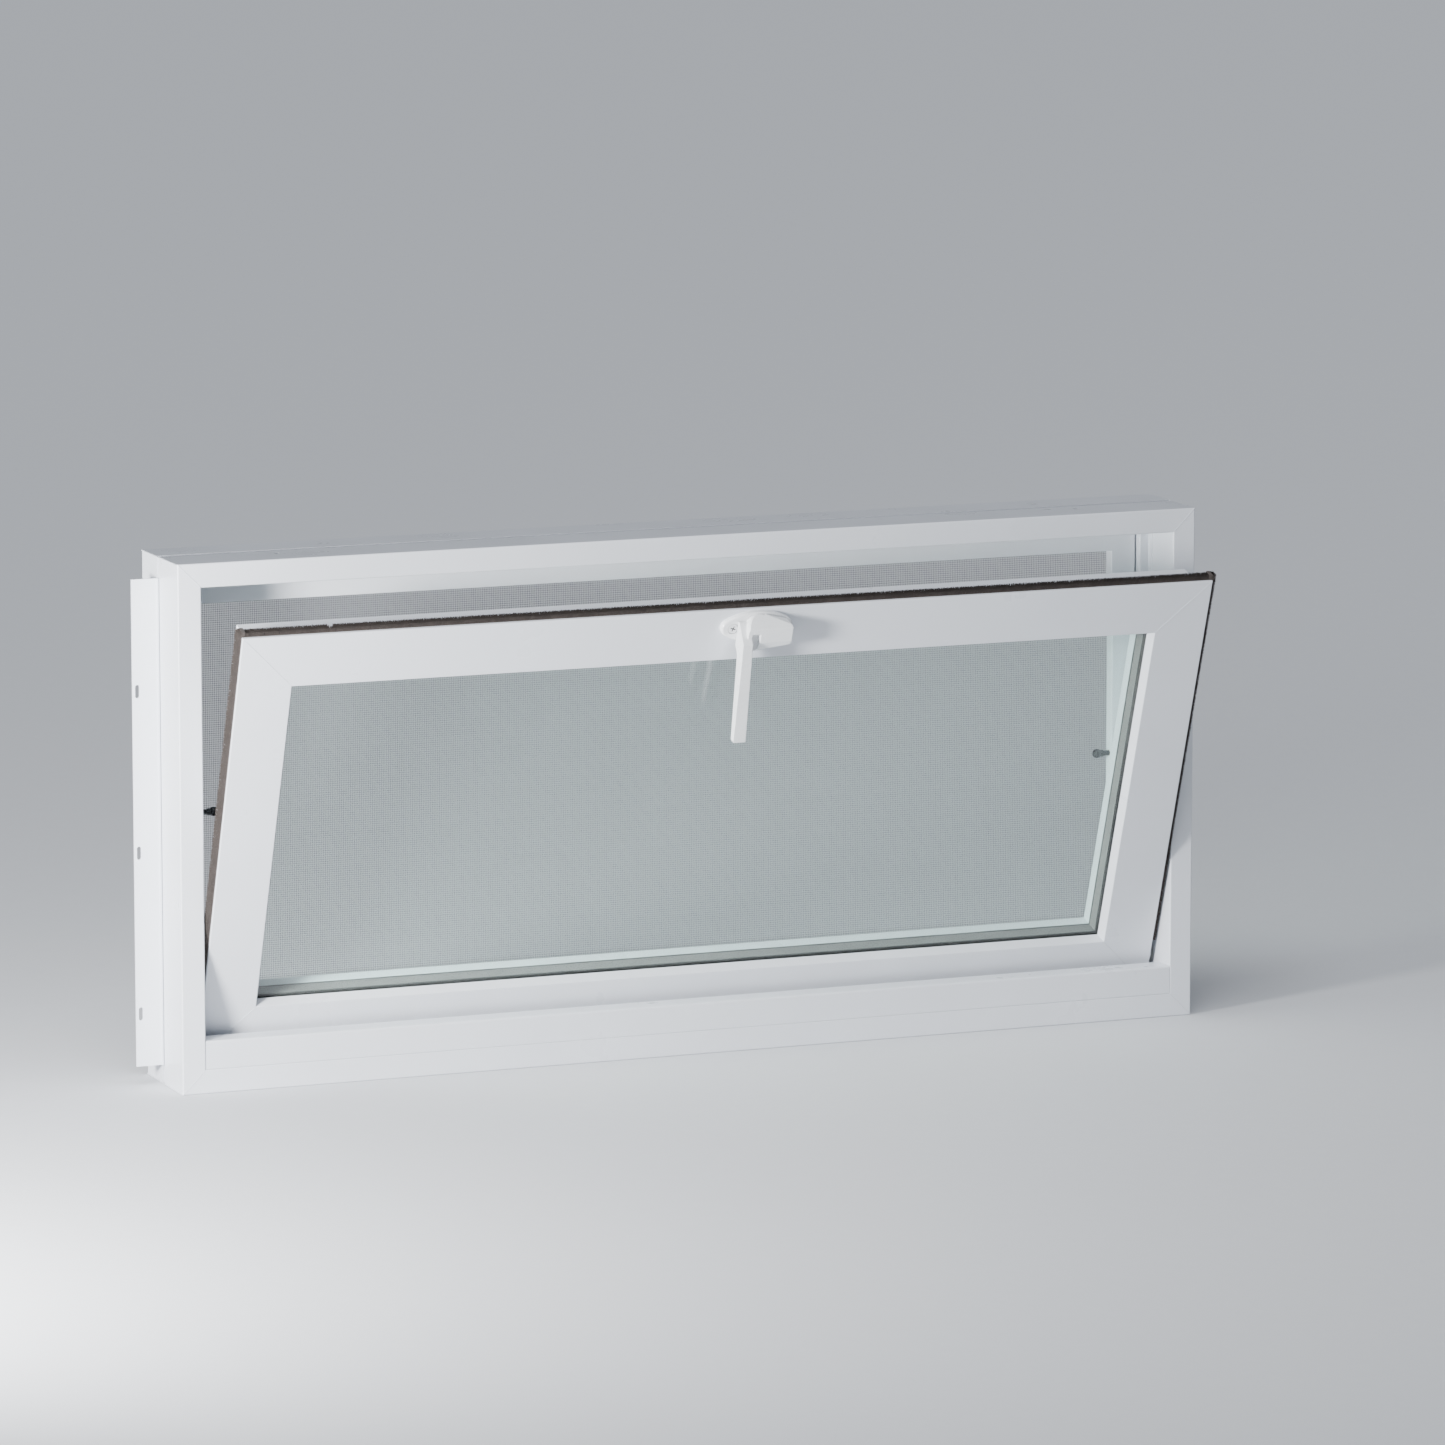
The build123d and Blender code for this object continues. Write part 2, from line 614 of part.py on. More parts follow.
def make_hub_block():
    """Hub and nose: their outline, less the sloped top, the bottom bevel and the notch beside
    the lever."""
    face = outline((-9, -16.4), (NOSE_X, -9.7, 1.6), (NOSE_X, 6.2, 1.6), (5, 11.3), (-9, 7))
    body = plate_between(face + Circle(HUB_R), HANDLE_FROM, HANDLE_TO)
    low, high = HANDLE_FROM - OVER, HANDLE_TO + OVER
    above = outline((high, 4.1), (high, 20), (low, 20), (low, 12.5))
    below = outline((high, -4.5), (high, -20), (8.4, -20))
    notch = plate_between(room((-8, -1.7), (-20, 0.5)), HANDLE_TO - NOTCH_DEEP, high)
    return body - side_extrusion(above, (-40, 40)) - side_extrusion(below, (-40, 40)) - notch


def make_lever():
    """Lever: its front outline and its side outline, both extruded, and what they share."""
    front = outline((-15.8, 7), (-8, 7), (-8, -8), (-5.4, -LEVER_LONG, 1.0), (-15.4, -LEVER_LONG, 1.0))
    side = outline(
        (HANDLE_FROM, 6), (7, 6.5), (LEVER_CROWN, -6.0, 2.0), (LEVER_TO, -LEVER_LONG),
        (LEVER_TO - 5, -LEVER_LONG), (9.5, -17, 6.0), (HANDLE_FROM, -13),
    )
    return plate_between(front, 0, LEVER_TO + OVER) & side_extrusion(side, (-20, 0))


def make_handle():
    spindle = plate_between(Circle(SPINDLE_R), -SPINDLE_END, HANDLE_FROM + OVER)
    return make_hub_block() + make_lever() + spindle


def make_latch():
    clip_face = Circle(CLIP_R) - Circle(SPINDLE_R)
    clip = plate_between(clip_face, -CLIP_GAP - CLIP_THICK, -CLIP_GAP)
    return {
        "latch_base": stood_off(make_latch_base()),
        "latch_screws": [stood_off(screw) for screw in make_latch_screws()],
        "latch_handle": stood_off(make_handle()),
        "latch_clip": stood_off(clip),
    }


def save(pieces, place):
    """Write each node, moved by place. A node of several solids is a list."""
    for node, shape in pieces.items():
        solids = shape if isinstance(shape, list) else [shape]
        moved = [place(solid) for solid in solids]
        whole = moved[0] if len(moved) == 1 else Compound(children=moved)
        export_step(whole, f"parts/{node}.step")


def unmoved(shape):
    return shape


for make in (make_frame, make_sill_stop, make_fins, make_bushes, make_keeper, make_screen, make_corner_keys):
    save(make(), unmoved)
for make in (make_sash, make_glass_unit, make_weatherstrip, make_latch):
    save(make(), opened)
hub = opened(Pos(HUB_X, at(SASH_FRONT), HUB_Z) * Box(1, 1, 1)).center()
print("tilt pivot, mm:", at(PIVOT_DEPTH), PIVOT_Z)
print("latch axis:", -cos(radians(TILT)), -sin(radians(TILT)), "through", hub)
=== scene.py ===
import json
import random
from math import cos, pi, radians, sin

import bmesh
import bpy
from mathutils import Matrix, Vector


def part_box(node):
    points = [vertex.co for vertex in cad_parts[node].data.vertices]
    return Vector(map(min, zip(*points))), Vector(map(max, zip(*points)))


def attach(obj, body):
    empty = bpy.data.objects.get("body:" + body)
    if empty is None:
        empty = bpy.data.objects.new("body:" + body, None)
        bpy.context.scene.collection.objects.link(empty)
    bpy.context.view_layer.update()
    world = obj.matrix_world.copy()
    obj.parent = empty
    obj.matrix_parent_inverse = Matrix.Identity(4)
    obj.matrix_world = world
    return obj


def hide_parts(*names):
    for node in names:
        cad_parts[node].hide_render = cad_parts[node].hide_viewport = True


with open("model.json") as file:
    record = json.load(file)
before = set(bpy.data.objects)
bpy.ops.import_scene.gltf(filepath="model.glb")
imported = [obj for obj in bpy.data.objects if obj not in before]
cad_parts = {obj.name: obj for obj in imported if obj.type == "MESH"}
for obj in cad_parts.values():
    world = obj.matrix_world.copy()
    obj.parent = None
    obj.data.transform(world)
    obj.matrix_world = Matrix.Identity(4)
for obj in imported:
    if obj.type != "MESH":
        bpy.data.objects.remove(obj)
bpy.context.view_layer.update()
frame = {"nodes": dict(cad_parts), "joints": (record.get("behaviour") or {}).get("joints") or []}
nodes = frame["nodes"]
MM = 0.001

# Where things are, worked out from the frame. The sash, latch and glass are tilted open
# about the pivot, so pieces on them are drawn in the sash's own closed position and
# turned with closed_to_rest.
joints = {joint["name"]: joint for joint in frame["joints"]}
PIVOT = Vector(joints["sash_tilt"]["pos_m"])
TILT = radians(-joints["sash_tilt"]["range_deg"][0])
FRAME_LOW, FRAME_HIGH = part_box("frame_sill")[0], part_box("frame_head")[1]
FRONT = FRAME_LOW.y
SASH_FACE = 40.7 * MM  # width of the sash's indoor face
tilted = Matrix.Rotation(TILT, 4, "X")
closed_to_rest = Matrix.Translation(PIVOT) @ tilted @ Matrix.Translation(-PIVOT)
rest_to_closed = closed_to_rest.inverted()


def closed_box(node):
    """Lowest and highest corners of a sash node, measured with the sash closed."""
    points = [rest_to_closed @ vertex.co for vertex in nodes[node].data.vertices]
    low = Vector([min(point[axis] for point in points) for axis in range(3)])
    high = Vector([max(point[axis] for point in points) for axis in range(3)])
    return low, high


# Materials


class Shader:
    """A node material with its Principled shader, and short names for what it needs."""

    def __init__(self, name, colour, roughness, **inputs):
        self.material = bpy.data.materials.new(name)
        self.material.use_nodes = True
        self.tree = self.material.node_tree
        self.bsdf = self.tree.nodes["Principled BSDF"]
        self.bsdf.inputs["Base Color"].default_value = (*colour, 1)
        self.bsdf.inputs["Roughness"].default_value = roughness
        for socket, value in inputs.items():
            self.bsdf.inputs[socket.replace("_", " ")].default_value = value
        self.colour = colour
        self.place = self.add("ShaderNodeTexCoord").outputs["Object"]

    def add(self, kind, **settings):
        node = self.tree.nodes.new(kind)
        for key, value in settings.items():
            setattr(node, key, value)
        return node

    def link(self, source, target):
        self.tree.links.new(source, target)

    def mapped(self, scale=(1, 1, 1), turn=0.0):
        """Coordinates in the part's frame, turned about X and then scaled."""
        turned = self.add("ShaderNodeMapping")
        turned.inputs["Rotation"].default_value = (-turn, 0, 0)
        scaled = self.add("ShaderNodeMapping")
        scaled.inputs["Scale"].default_value = scale
        self.link(self.place, turned.inputs["Vector"])
        self.link(turned.outputs["Vector"], scaled.inputs["Vector"])
        return scaled.outputs["Vector"]

    def noise(self, vector, scale, detail):
        texture = self.add("ShaderNodeTexNoise")
        texture.inputs["Scale"].default_value = scale
        texture.inputs["Detail"].default_value = detail
        texture.inputs["Roughness"].default_value = 0.55
        self.link(vector, texture.inputs["Vector"])
        return texture.outputs["Fac"]

    def spread(self, factor, low, high, from_low=0.3, from_high=0.7):
        """A number that runs from low to high as factor runs over its usual range."""
        ranged = self.add("ShaderNodeMapRange")
        ranged.inputs["From Min"].default_value = from_low
        ranged.inputs["From Max"].default_value = from_high
        ranged.inputs["To Min"].default_value = low
        ranged.inputs["To Max"].default_value = high
        self.link(factor, ranged.inputs["Value"])
        return ranged.outputs["Result"]

    def vary_roughness(self, factor, low, high):
        self.link(self.spread(factor, low, high), self.bsdf.inputs["Roughness"])

    def tint(self, factor, first, second):
        """Base colour that runs between two colours."""
        mix = self.add("ShaderNodeMix", data_type="RGBA")
        mix.inputs["A"].default_value = (*first, 1)
        mix.inputs["B"].default_value = (*second, 1)
        self.link(factor, mix.inputs["Factor"])
        self.link(mix.outputs["Result"], self.bsdf.inputs["Base Color"])

    def bumps(self, *layers):
        """Chained bump: each layer is (height, strength, depth in metres)."""
        normal = None
        for height, strength, depth in layers:
            bump = self.add("ShaderNodeBump")
            bump.inputs["Strength"].default_value = strength
            bump.inputs["Distance"].default_value = depth
            self.link(height, bump.inputs["Height"])
            if normal:
                self.link(normal, bump.inputs["Normal"])
            normal = bump.outputs["Normal"]
        self.link(normal, self.bsdf.inputs["Normal"])


def scaled(colour, factor):
    return tuple(channel * factor for channel in colour)


# Noise scales that draw die lines out along an extrusion's run
ALONG = {"x": (3, 420, 420), "z": (420, 420, 3)}
PVC_WHITE = (0.74, 0.765, 0.81)


def pvc(name, run, turn=0.0, colour=PVC_WHITE, roughness=0.3):
    """Extruded PVC: faint die lines along its run, a slight ripple, and handling smudges."""
    shader = Shader(name, colour, roughness, Coat_Weight=0.12, Coat_Roughness=0.18)
    lines = shader.noise(shader.mapped(ALONG[run], turn), 1.0, detail=2.0)
    ripple = shader.noise(shader.mapped(turn=turn), 28.0, detail=2.0)
    grain = shader.noise(shader.mapped(turn=turn), 1600.0, detail=1.0)
    smudge = shader.noise(shader.mapped(turn=turn), 16.0, detail=5.0)
    shader.tint(shader.spread(smudge, 0.0, 1.0), colour, scaled(colour, 0.965))
    shader.vary_roughness(smudge, roughness - 0.05, roughness + 0.09)
    shader.bumps((lines, 0.18, 0.04 * MM), (ripple, 0.22, 0.35 * MM), (grain, 0.10, 0.02 * MM))
    return shader.material


def enamel(name, colour, roughness):
    """Sprayed enamel on a casting: a soft orange peel."""
    shader = Shader(name, colour, roughness, Coat_Weight=0.35, Coat_Roughness=0.1)
    peel = shader.noise(shader.mapped(), 520.0, detail=2.0)
    cloud = shader.noise(shader.mapped(), 60.0, detail=4.0)
    shader.tint(shader.spread(cloud, 0.0, 1.0), colour, scaled(colour, 0.95))
    shader.vary_roughness(cloud, roughness - 0.04, roughness + 0.08)
    shader.bumps((peel, 0.25, 0.06 * MM))
    return shader.material


def screw_head_painted_shade(name, colour, front, deep):
    """Screw-head enamel with painted shade: deeper than the head's face, the recess is painted
    near-black in place of its shade.
    """
    shader = Shader(name, colour, 0.3, Coat_Weight=0.2, Coat_Roughness=0.15)
    split = shader.add("ShaderNodeSeparateXYZ")
    shader.link(shader.mapped(turn=TILT), split.inputs["Vector"])
    # Painted shade: from a little behind the screws' front face, the colour runs to near-black,
    # standing in for the shade in the recess.
    painted_recess_shade = shader.spread(split.outputs["Y"], 0.0, 1.0, front + deep, front + 2 * deep)
    shader.tint(painted_recess_shade, colour, (0.02, 0.02, 0.022))
    grain = shader.noise(shader.mapped(), 700.0, detail=2.0)
    shader.bumps((grain, 0.2, 0.04 * MM))
    return shader.material


def metal(name, colour, roughness):
    """Bare metal with a fine grain in its tone and its gloss."""
    shader = Shader(name, colour, roughness, Metallic=1.0)
    grain = shader.noise(shader.mapped((900, 900, 900)), 1.0, detail=3.0)
    shader.tint(shader.spread(grain, 0.0, 1.0), colour, scaled(colour, 0.82))
    shader.vary_roughness(grain, roughness - 0.06, roughness + 0.1)
    shader.bumps((grain, 0.2, 0.02 * MM))
    return shader.material


def soft(name, colour, roughness, grain_scale=700.0, dark=0.75, sheen=0.0, specular=0.5):
    """Rubber, sealant, nylon and fibre: a matt colour with a fine uneven grain."""
    shader = Shader(name, colour, roughness, Sheen_Weight=sheen, Specular_IOR_Level=specular)
    grain = shader.noise(shader.mapped(), grain_scale, detail=4.0)
    patch = shader.noise(shader.mapped(), grain_scale / 12, detail=3.0)
    both = shader.add("ShaderNodeMath", operation="MULTIPLY")
    shader.link(shader.spread(grain, 0.2, 1.0), both.inputs[0])
    shader.link(shader.spread(patch, 0.4, 1.0), both.inputs[1])
    shader.tint(both.outputs["Value"], scaled(colour, dark), colour)
    shader.bumps((grain, 0.5, 0.08 * MM))
    return shader.material


def glossy_black(name):
    """Moulded black plastic with uneven gloss."""
    shader = Shader(name, (0.012, 0.012, 0.013), 0.16, Coat_Weight=0.5, Coat_Roughness=0.06)
    fine = shader.noise(shader.mapped(), 900.0, detail=2.0)
    shader.vary_roughness(fine, 0.12, 0.26)
    shader.bumps((fine, 0.12, 0.03 * MM))
    return shader.material


def glass(name):
    """Slightly wavy float glass. It lets lamps through, so that nothing behind is in the dark."""
    shader = Shader(name, (0.93, 0.975, 0.965), 0.0, Transmission_Weight=1.0, IOR=1.5)
    path = shader.add("ShaderNodeLightPath")
    clear = shader.add("ShaderNodeBsdfTransparent")
    clear.inputs["Color"].default_value = (0.90, 0.95, 0.94, 1)
    mix = shader.add("ShaderNodeMixShader")
    shader.link(path.outputs["Is Shadow Ray"], mix.inputs["Fac"])
    shader.link(shader.bsdf.outputs["BSDF"], mix.inputs[1])
    shader.link(clear.outputs["BSDF"], mix.inputs[2])
    wave = shader.noise(shader.mapped(), 6.0, detail=1.0)
    shader.bumps((wave, 0.05, 0.4 * MM))
    output = shader.tree.nodes["Material Output"]
    shader.link(mix.outputs["Shader"], output.inputs["Surface"])
    return shader.material


rail_pvc = pvc("pvc_frame_rail", "x")
jamb_pvc = pvc("pvc_frame_jamb", "z")
sash_rail_pvc = pvc("pvc_sash_rail", "x", TILT)
sash_stile_pvc = pvc("pvc_sash_stile", "z", TILT)
sealant = soft("sealant", (0.06, 0.065, 0.06), 0.5, 500.0)
weld_pvc = pvc("pvc_weld", "x", colour=scaled(PVC_WHITE, 0.95), roughness=0.25)
fin_pvc = pvc("pvc_fin", "z", colour=(0.79, 0.82, 0.87), roughness=0.36)
white_enamel = enamel("latch_enamel", (0.86, 0.875, 0.885), 0.24)
# The screw heads' front face; deeper than this the recesses get painted shade.
screws_front = closed_to_rest @ closed_box("latch_screws")[0]
turned_front = (tilted.inverted() @ screws_front).y
screw_enamel_painted_shade = screw_head_painted_shade("screw_enamel_painted_shade", (0.72, 0.73, 0.74), turned_front, 0.35 * MM)
PAINT = (0.78, 0.80, 0.84)
screen_rail_paint = pvc("screen_rail_paint", "x", colour=PAINT, roughness=0.34)
screen_stile_paint = pvc("screen_stile_paint", "z", colour=PAINT, roughness=0.34)
thread = soft("screen_thread", (0.15, 0.157, 0.17), 0.5, 900.0)
fibre = soft("pile_fibre", (0.085, 0.068, 0.06), 0.9, 900.0, dark=0.45, sheen=0.1)
seal = soft("rear_seal_rubber", (0.55, 0.55, 0.55), 0.7, 1200.0, dark=0.8)
black_rubber = soft("black_rubber", (0.03, 0.03, 0.032), 0.6)
dark_tape = soft("dark_tape", (0.07, 0.075, 0.08), 0.6)
nylon = soft("nylon", (0.74, 0.74, 0.71), 0.45, 500.0, dark=0.93)
zinc = metal("die_cast_zinc", (0.56, 0.57, 0.58), 0.38)
steel = metal("bright_steel", (0.66, 0.66, 0.65), 0.26)
brass = metal("brass", (0.72, 0.55, 0.28), 0.28)
spacer_metal = soft("spacer_grey", (0.15, 0.155, 0.15), 0.8, 500.0, dark=0.9, specular=0.1)
knob_black = glossy_black("plunger_black")
float_glass = glass("float_glass")

finishes = {
    "sill_stop": rail_pvc, "screen_corner_keys": nylon, "screen_spline": black_rubber,
    "screen_mesh": thread, "latch_keeper": steel, "keeper_screws": steel, "latch_clip": steel,
    "latch_base": white_enamel, "latch_handle": white_enamel, "latch_screws": screw_enamel_painted_shade,
    "glass_inner": float_glass, "glass_outer": float_glass, "glass_spacer": spacer_metal,
    "glass_edge_seal": black_rubber, "glazing_tape": dark_tape, "setting_blocks": nylon,
    "frame_head": rail_pvc, "frame_sill": rail_pvc,
}
for level in ("top", "bottom"):
    finishes["sash_rail_" + level] = sash_rail_pvc
    finishes["glazing_bead_" + level] = sash_rail_pvc
    finishes["screen_rail_" + level] = screen_rail_paint
for side in ("left", "right"):
    finishes["frame_jamb_" + side] = jamb_pvc
    finishes["side_fin_" + side] = fin_pvc
    finishes["sash_stile_" + side] = sash_stile_pvc
    finishes["glazing_bead_" + side] = sash_stile_pvc
    finishes["screen_stile_" + side] = screen_stile_paint
    finishes["pivot_bush_" + side] = nylon
    finishes["pivot_pin_" + side] = zinc
    finishes["screen_plunger_" + side] = knob_black
    finishes["plunger_spring_" + side] = steel
    finishes["plunger_ferrule_" + side] = brass
for side in ("top", "left", "right"):
    finishes["sash_pile_" + side] = fibre
    finishes["rear_seal_" + side] = seal
for name, node in nodes.items():
    node.data.materials.clear()
    node.data.materials.append(finishes[name])


# Mesh helpers


def add_piece(name, mesh_builder, material, body):
    """Object from a filled bmesh, with a finish, that rides on a body."""
    mesh = bpy.data.meshes.new(name)
    mesh_builder.normal_update()
    mesh_builder.to_mesh(mesh)
    mesh_builder.free()
    piece = bpy.data.objects.new(name, mesh)
    bpy.context.scene.collection.objects.link(piece)
    piece.data.materials.append(material)
    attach(piece, body)
    return piece


def add_tube(builder, points, radii, sides):
    """Closed tube through points, one radius each, with flat ends."""
    rings = []
    for index, point in enumerate(points):
        before = points[max(index - 1, 0)]
        after = points[min(index + 1, len(points) - 1)]
        along = (after - before).normalized()
        helper = Vector((0, 1, 0)) if abs(along.y) < 0.9 else Vector((1, 0, 0))
        across = along.cross(helper).normalized()
        up = across.cross(along)
        ring = []
        for step in range(sides):
            angle = 2 * pi * step / sides
            offset = (across * cos(angle) + up * sin(angle)) * radii[index]
            ring.append(builder.verts.new(point + offset))
        rings.append(ring)
    for first, second in zip(rings, rings[1:]):
        for step in range(sides):
            after = (step + 1) % sides
            builder.faces.new((first[step], first[after], second[after], second[step]))
    builder.faces.new(rings[0][::-1])
    builder.faces.new(rings[-1])


# Insect screen: real threads, the upright ones in front


PITCH = {0: 1.41 * MM, 2: 1.59 * MM}  # of the upright and of the level threads
THREAD_RADIUS = 0.14 * MM


def add_threads(builder, draw, low, high, across, y):
    """Threads side by side along an axis, each running the whole way on the other axis."""
    count = int((high[across] - low[across]) / PITCH[across])
    for step in range(count + 1):
        ends = [Vector((low.x, y, low.z)), Vector((high.x, y, high.z))]
        for end in ends:
            end[across] = low[across] + step * (high[across] - low[across]) / count
        add_tube(builder, ends, [THREAD_RADIUS * draw.uniform(0.92, 1.08)] * 2, sides=5)


def make_screen_mesh():
    low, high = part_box("screen_mesh")
    middle = (low.y + high.y) / 2
    draw = random.Random(11)
    builder = bmesh.new()
    add_threads(builder, draw, low, high, 0, middle - THREAD_RADIUS * 0.7)
    add_threads(builder, draw, low, high, 2, middle + THREAD_RADIUS * 0.7)
    piece = add_piece("woven_screen", builder, thread, "frame")
    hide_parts("screen_mesh")


make_screen_mesh()


# Pile weatherstrip: a woven backing with thousands of short fibres


PILE_SPACING = 0.5 * MM
PILE_NICK = -0.3105  # where the top strip's rear fibres are missing
PILE_NICK_HALF = 1.8 * MM
SUNK = 0.35  # share of the fibres' length that stands in the slot


def add_fibre(builder, root, tip, across, along, wide):
    """Tapered three-sided fibre; across and along are the axes of its section."""
    ring, end = [], []
    for corner in range(3):
        turn = corner * 2 * pi / 3
        spoke = across * cos(turn) + along * sin(turn)
        ring.append(builder.verts.new(root + spoke * wide))
        end.append(builder.verts.new(tip + spoke * wide * 0.5))
    builder.faces.new(ring)
    builder.faces.new(end[::-1])
    for corner in range(3):
        after = (corner + 1) % 3
        builder.faces.new((ring[corner], ring[after], end[after], end[corner]))


def add_pile_rows(builder, draw, low, high, run, out, outwards):
    """Fibres in rows between two corners; they stand out along an axis."""
    size = high - low
    base = low[out] if outwards > 0 else high[out]
    rows = int(size.y / PILE_SPACING)
    steps = int(size[run] / PILE_SPACING)
    across, along = Vector((0, 1, 0)), Vector((0, 0, 0))
    along[run] = 1
    for step in range(steps):
        for row in range(rows):
            start = Vector((0, 0, 0))
            start[run] = low[run] + (step + draw.random()) * size[run] / steps
            start.y = low.y + (row + draw.uniform(0.15, 0.85)) * size.y / rows
            start[out] = base + outwards * size[out] * SUNK
            offset = (start.y - low.y) / size.y * 2 - 1
            tall = size[out] * (1.0 - 0.07 * offset * offset) * draw.uniform(0.9, 1.0)
            lean = along * draw.gauss(0, 0.3) + across * draw.gauss(0, 0.22)
            tip = start + lean * MM
            tip[out] = base + outwards * tall
            tip[run] = min(max(tip[run], low[run]), high[run])
            wide = draw.uniform(0.2, 0.3) * MM
            nicked = run == 0 and offset > -0.2 and abs(start.x - PILE_NICK) < PILE_NICK_HALF
            if not nicked:
                add_fibre(builder, start, tip, across, along, wide)


def add_pile_fan(builder, draw, corner, side, low, high):
    """Fibres that fan out round a corner of the sash, from the side strip to the top one."""
    depth = Vector((0, 1, 0))
    tall = high.z - low.z
    rows = int((high.y - low.y) / PILE_SPACING)
    steps = int(tall * pi / 2 / PILE_SPACING)
    for step in range(steps):
        for row in range(rows):
            angle = (step + draw.random()) / steps * pi / 2
            out = Vector((side * cos(angle), 0, sin(angle)))
            y = low.y + (row + draw.random()) * (high.y - low.y) / rows
            place = Vector((corner.x, y, corner.z))
            root = place + out * tall * SUNK
            tip = place + out * tall * draw.uniform(0.88, 0.98)
            add_fibre(builder, root, tip, depth, out.cross(depth), 0.28 * MM)


def add_backing(builder, low, high, out, outwards):
    """The woven strip that the fibres stand in."""
    inner = low[out] if outwards > 0 else high[out]
    outer = inner + outwards * (high[out] - low[out]) * (SUNK + 0.07)
    bounds = [low.copy(), high.copy()]
    bounds[0][out], bounds[1][out] = min(inner, outer), max(inner, outer)
    for vertex in bmesh.ops.create_cube(builder, size=1.0)["verts"]:
        for axis in range(3):
            vertex.co[axis] = bounds[vertex.co[axis] > 0][axis]


def make_pile(side):
    """The strip's CAD solid gives where its fibres stand and how long they are."""
    node = "sash_pile_" + side
    low, high = closed_box(node)
    top_low, top_high = closed_box("sash_pile_top")
    draw = random.Random(len(side) * 7)
    builder = bmesh.new()
    if side == "top":
        add_backing(builder, low, high, 2, 1)
        add_pile_rows(builder, draw, low, high, 0, 2, 1)
    else:
        outwards = 1 if side == "right" else -1
        add_backing(builder, low, high, 0, outwards)
        add_pile_rows(builder, draw, low, high, 2, 0, outwards)
        corner = Vector((low.x if outwards > 0 else high.x, 0, top_low.z))
        add_pile_fan(builder, draw, corner, outwards, top_low, top_high)
    bmesh.ops.recalc_face_normals(builder, faces=builder.faces)
    builder.transform(closed_to_rest)
    piece = add_piece("woven_pile_" + side, builder, fibre, "sash")
    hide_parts(node)


for side in ("top", "left", "right"):
    make_pile(side)


# Latch handle: the casting's edges are rounded by a fine remesh

VOXEL = 0.3 * MM
SPINDLE_SLIM = 0.955  # of the spindle's radius


def slim_spindle(mesh):
    """Take back what the remesh adds to the spindle, so that it stays clear of the base."""
    axis = rest_to_closed @ Vector(joints["latch_turn"]["pos_m"])
    underside = closed_box("latch_base")[0].y - 0.2 * MM
    for vertex in mesh.vertices:
        place = rest_to_closed @ vertex.co
        if place.y > underside:
            place.x = axis.x + (place.x - axis.x) * SPINDLE_SLIM
            place.z = axis.z + (place.z - axis.z) * SPINDLE_SLIM
            vertex.co = closed_to_rest @ place


def make_cast_handle():
    """The handle's CAD solid with softened edges."""
    piece = bpy.data.objects.new("cast_handle", nodes["latch_handle"].data.copy())
    bpy.context.scene.collection.objects.link(piece)
    remesh = piece.modifiers.new("remesh", "REMESH")
    remesh.mode = "VOXEL"
    remesh.voxel_size = VOXEL
    smooth = piece.modifiers.new("smooth", "SMOOTH")
    smooth.iterations = 1
    smooth.factor = 0.5
    bpy.context.view_layer.update()
    evaluated = piece.evaluated_get(bpy.context.evaluated_depsgraph_get())
    rounded = bpy.data.meshes.new_from_object(evaluated)
    piece.modifiers.clear()
    piece.data = rounded
    for polygon in rounded.polygons:
        polygon.use_smooth = True
    slim_spindle(rounded)
    rounded.materials.clear()
    rounded.materials.append(white_enamel)
    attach(piece, "latch")
    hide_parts("latch_handle")


make_cast_handle()


# Weld lines at the mitred corners, and the sealant between spacer and panes

RIDGE_STEPS = 24
FRAME_BEAD = 0.24 * MM
SASH_BEAD = 0.22 * MM
FLASH = 0.42 * MM
SEALANT_LINE = 0.5 * MM


def add_ridge(builder, start, end, radius, draw):
    """Thin uneven bead between two points."""
    points = [start.lerp(end, step / RIDGE_STEPS) for step in range(RIDGE_STEPS + 1)]
    radii = [radius * draw.uniform(0.8, 1.15) for _ in points]
    add_tube(builder, points, radii, sides=8)


def make_frame_welds():
    """Low beads on the frame's indoor mitres, and the flash along its four outer corners."""
    draw = random.Random(3)
    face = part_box("sill_stop")[0].z  # the stop stands on the sill, a face width up
    builder = bmesh.new()
    for side in (-1, 1):
        for level, inwards in ((FRAME_LOW.z, 1), (FRAME_HIGH.z, -1)):
            corner = Vector((side * FRAME_HIGH.x, FRONT, level))
            slant = Vector((-side, 0, inwards))
            start = corner + slant * 0.9 * MM
            end = corner + slant * (face - 0.6 * MM)
            add_ridge(builder, start, end, FRAME_BEAD, draw)
            edge = corner + Vector((side * FLASH * 0.7, 0.8 * MM, inwards * FLASH * 1.2))
            back = Vector((edge.x, FRAME_HIGH.y - 0.5 * MM, edge.z))
            add_ridge(builder, edge, back, FLASH, draw)
    add_piece("frame_welds", builder, weld_pvc, "frame")


def make_sash_welds():
    """Low beads on the sash's indoor mitres, from the flange to the glazing leg."""
    draw = random.Random(5)
    low, high = closed_box("sash_rail_top")
    bottom = closed_box("sash_rail_bottom")[0].z
    builder = bmesh.new()
    for side in (-1, 1):
        for level, inwards in ((bottom, 1), (high.z, -1)):
            corner = Vector((side * high.x, low.y, level))
            slant = Vector((-side, 0, inwards))
            start = corner + slant * 0.8 * MM
            end = corner + slant * (SASH_FACE - 1.0 * MM)
            add_ridge(builder, start, end, SASH_BEAD, draw)
    builder.transform(closed_to_rest)
    add_piece("sash_welds", builder, weld_pvc, "sash")


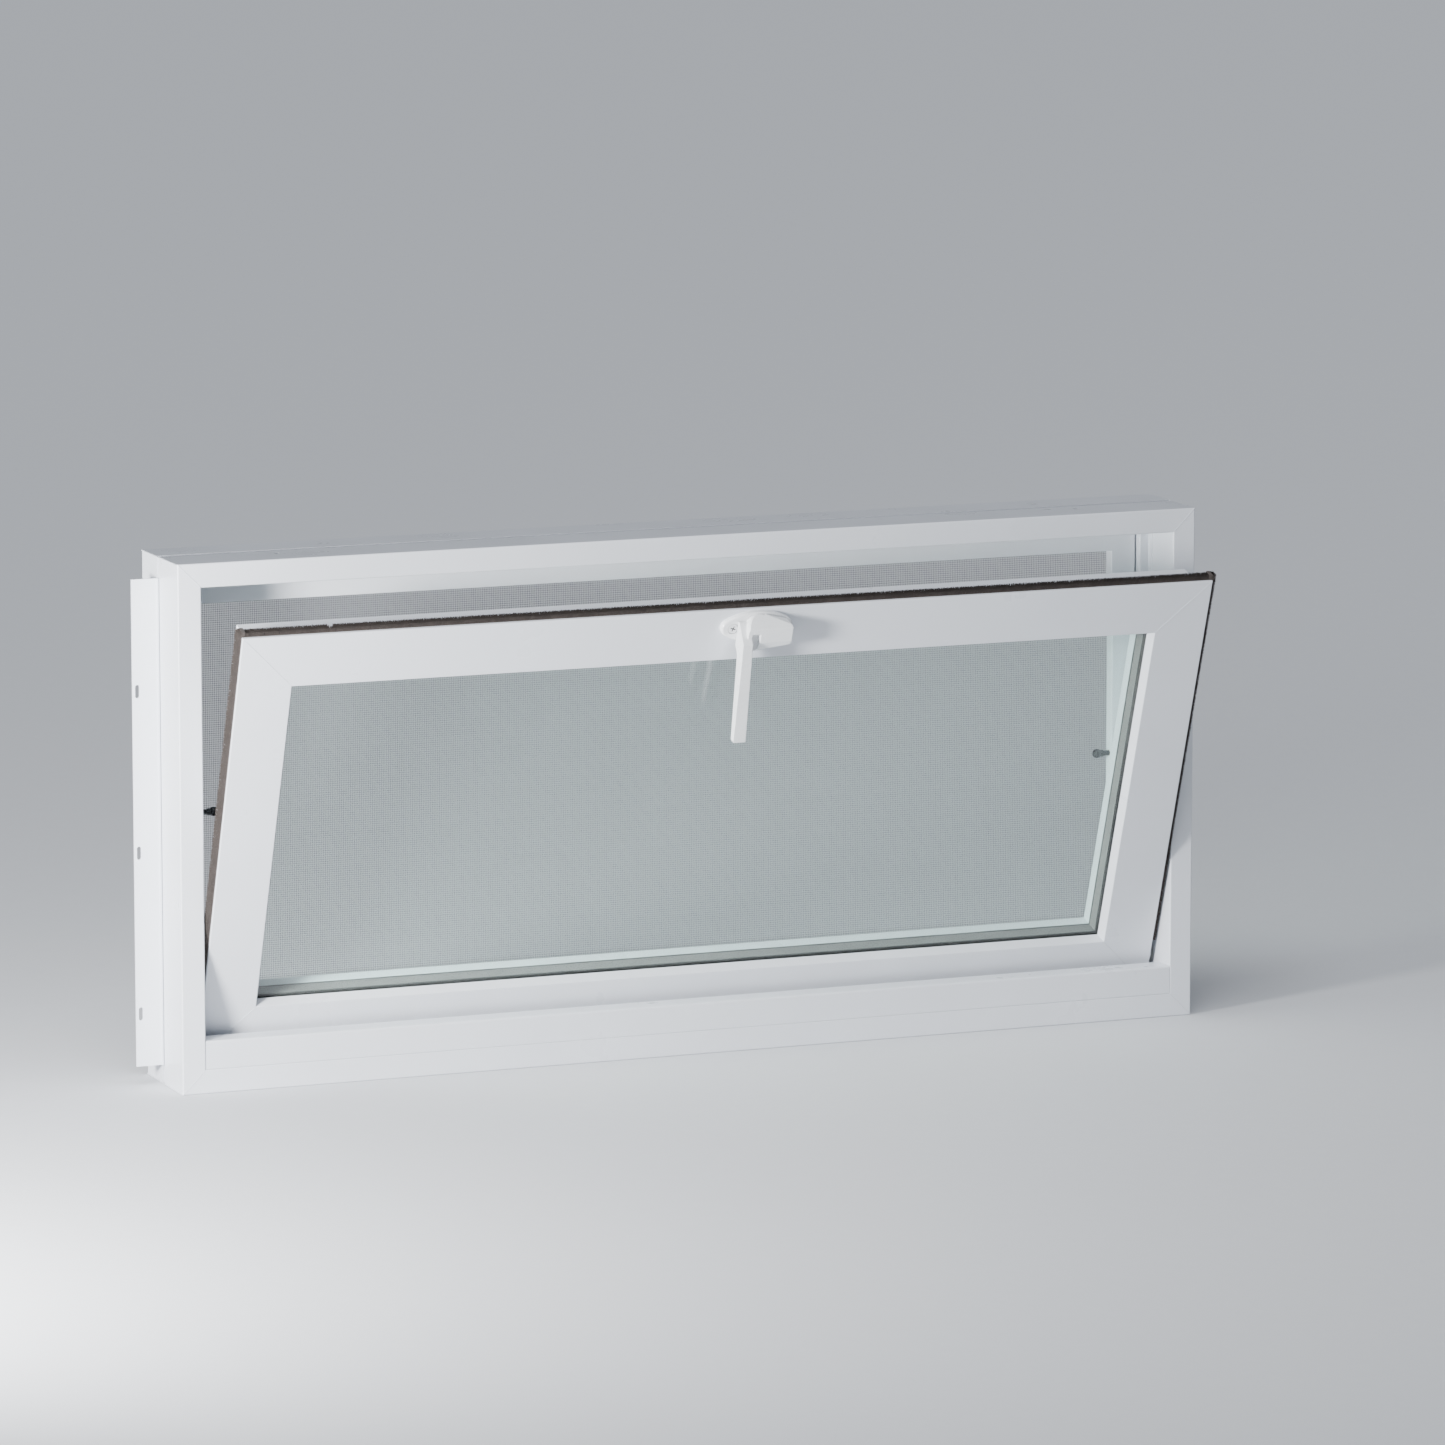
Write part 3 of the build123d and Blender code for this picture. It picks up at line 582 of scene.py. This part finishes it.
def make_sealant():
    """Dark lines of sealant where the spacer meets the panes."""
    draw = random.Random(9)
    low, high = closed_box("glass_spacer")
    inset = 7.0 * MM  # to the spacer's inner face, from its outside
    left, right = low.x + inset, high.x - inset
    bottom, top = low.z + inset, high.z - inset
    builder = bmesh.new()
    for y in (low.y + SEALANT_LINE, high.y - SEALANT_LINE):
        corners = [(left, y, bottom), (right, y, bottom), (right, y, top), (left, y, top)]
        for start, end in zip(corners, corners[1:] + corners[:1]):
            add_ridge(builder, Vector(start), Vector(end), SEALANT_LINE, draw)
    builder.transform(closed_to_rest)
    add_piece("sealant_lines", builder, sealant, "sash")


make_frame_welds()
make_sash_welds()
make_sealant()


# Studio


def make_floor():
    """A plain pale floor, far wider than the view."""
    builder = bmesh.new()
    bmesh.ops.create_grid(builder, x_segments=1, y_segments=1, size=40.0)
    mesh = bpy.data.meshes.new("floor")
    builder.to_mesh(mesh)
    builder.free()
    floor = bpy.data.objects.new("floor", mesh)
    bpy.context.scene.collection.objects.link(floor)
    shader = Shader("floor_paper", (0.6, 0.615, 0.64), 0.8)
    grain = shader.noise(shader.mapped(), 60.0, detail=4.0)
    shader.tint(shader.spread(grain, 0.0, 1.0), shader.colour, scaled(shader.colour, 0.985))
    mesh.materials.append(shader.material)


def add_lamp(name, kind, place, direction, energy):
    """Lamp that shines from a place along a direction."""
    lamp = bpy.data.lights.new(name, kind)
    lamp.energy = energy
    holder = bpy.data.objects.new(name, lamp)
    holder.location = place
    holder.rotation_euler = direction.to_track_quat("-Z", "Y").to_euler()
    bpy.context.scene.collection.objects.link(holder)
    return lamp


KEY_PLACE = Vector((-1.15, -0.62, 0.36))
KEY_TARGET = Vector((-0.2, -0.05, 0.24))
FILL_DIRECTION = Vector((0.25, 0.4, -1.0))


def make_studio():
    """A key lamp close on the left, and a broad soft light from above and in front."""
    make_floor()
    key = add_lamp("key", "AREA", KEY_PLACE, KEY_TARGET - KEY_PLACE, 40)
    key.shape = "DISK"
    key.size = 0.24
    fill = add_lamp("front_fill", "SUN", (0, 0, 0), FILL_DIRECTION, 2.6)
    fill.angle = radians(35)
    fill.color = (0.95, 0.97, 1.0)
    world = bpy.data.worlds.new("studio")
    world.use_nodes = True
    background = world.node_tree.nodes["Background"]
    background.inputs["Color"].default_value = (0.72, 0.80, 0.95, 1)
    background.inputs["Strength"].default_value = 0.15
    bpy.context.scene.world = world


CAMERA_PLACE = (-2.2084, -5.6334, 1.2410)
CAMERA_PITCH = -9.374
CAMERA_YAW = -21.717
CAMERA_LENS = 206.8


def make_camera():
    """The photographer's place: to the left, and a little above."""
    camera = bpy.data.cameras.new("camera")
    camera.lens = CAMERA_LENS
    camera.sensor_width = 36.0
    camera.clip_end = 200.0
    holder = bpy.data.objects.new("camera", camera)
    holder.location = CAMERA_PLACE
    holder.rotation_euler = (radians(90 + CAMERA_PITCH), 0, radians(CAMERA_YAW))
    bpy.context.scene.collection.objects.link(holder)
    bpy.context.scene.camera = holder


make_studio()
make_camera()
